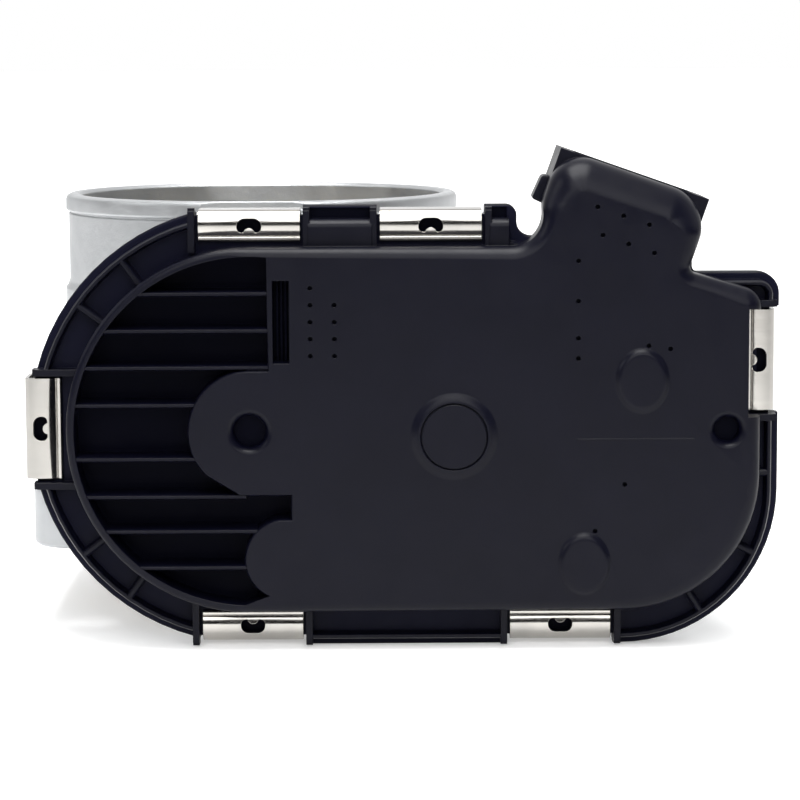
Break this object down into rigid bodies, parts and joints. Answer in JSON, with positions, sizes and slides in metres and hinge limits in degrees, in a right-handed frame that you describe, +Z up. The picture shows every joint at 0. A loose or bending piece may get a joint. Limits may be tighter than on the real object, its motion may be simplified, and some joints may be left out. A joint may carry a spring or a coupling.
{
  "type": "electronic throttle body",
  "caption": "Electric throttle valve: cast bore with a motor-driven butterfly plate, gear case, clipped plastic cover and moulded plug socket.",
  "frame": {"origin": "bottom centre of the whole part's bounding box, at the lowest edge of the cover", "axes": "+Z up along the air bore towards the hose neck; +Y from the gear cover to the far shaft boss; +X along the cover from the shaft to the motor"},
  "size_m": [0.1248, 0.0998, 0.082],
  "materials": {
    "cast_aluminium": "as cast, satin",
    "seal_rubber": "matte",
    "cover_plastic": "moulded, fine satin",
    "clip_steel": "bright strip",
    "gear_plastic": "moulded",
    "plate_brass": "rolled sheet",
    "contact_brass": "plated",
    "pinion_brass": "machined",
    "magnet_ferrite": "sintered ferrite",
    "brush_carbon": "pressed carbon",
    "circuit_board": "solder mask",
    "commutator_copper": "turned",
    "rotor_iron": "laminated sheet",
    "machined_steel": "turned"
  },
  "bodies": {
    "housing": {"housing": "cast_aluminium", "flange_seal": "seal_rubber", "cover_gasket": "seal_rubber", "cover": "cover_plastic", "bearing_near": "machined_steel", "bearing_far": "machined_steel", "shaft_end_cap": "machined_steel", "return_spring": "machined_steel", "intermediate_gear_pin": "machined_steel", "motor_can": "machined_steel", "motor_end_plate": "machined_steel", "motor_magnet_1": "magnet_ferrite", "motor_magnet_2": "magnet_ferrite", "motor_brush_1": "brush_carbon", "motor_brush_2": "brush_carbon", "sensor_board": "circuit_board", "stop_screw": "machined_steel", "motor_screw_1": "machined_steel", "motor_screw_2": "machined_steel", "motor_terminal_1": "contact_brass", "motor_terminal_2": "contact_brass", "motor_contact_1": "contact_brass", "motor_contact_2": "contact_brass", "connector_pin_1": "contact_brass", "connector_pin_2": "contact_brass", "connector_pin_3": "contact_brass", "connector_pin_4": "contact_brass", "connector_pin_5": "contact_brass", "connector_pin_6": "contact_brass", "cover_clip_1": "clip_steel", "cover_clip_2": "clip_steel", "cover_clip_3": "clip_steel", "cover_clip_4": "clip_steel", "cover_clip_5": "clip_steel", "cover_clip_6": "clip_steel"},
    "throttle": {"throttle_shaft": "machined_steel", "throttle_plate": "plate_brass", "plate_screw_1": "machined_steel", "plate_screw_2": "machined_steel", "gear_segment": "gear_plastic", "shaft_nut": "machined_steel", "sensor_magnet": "magnet_ferrite"},
    "intermediate": {"intermediate_gear": "gear_plastic"},
    "rotor": {"motor_shaft": "machined_steel", "motor_pinion": "pinion_brass", "rotor_core": "rotor_iron", "commutator": "commutator_copper"}
  },
  "joints": [
    {"name": "throttle_turn", "type": "hinge", "parent": "housing", "child": "throttle", "pos_m": [-0.0244, 0.00555, 0.0364], "axis": [0, 1, 0], "range_deg": [-6, 83], "stiffness_Nm_per_rad": 0.25},
    {"name": "intermediate_turn", "type": "hinge", "parent": "housing", "child": "intermediate", "pos_m": [0.00865, -0.03945, 0.03559], "axis": [0, 1, 0], "range_deg": [-262, 20]},
    {"name": "rotor_turn", "type": "hinge", "parent": "housing", "child": "rotor", "pos_m": [0.03547, -0.00645, 0.0295], "axis": [0, 1, 0], "range_deg": [-77, 1045]}
  ],
  "couplings": [
    {"joint": "intermediate_turn", "follows": "throttle_turn", "ratio": -3.1429},
    {"joint": "rotor_turn", "follows": "throttle_turn", "ratio": 12.571}
  ]
}
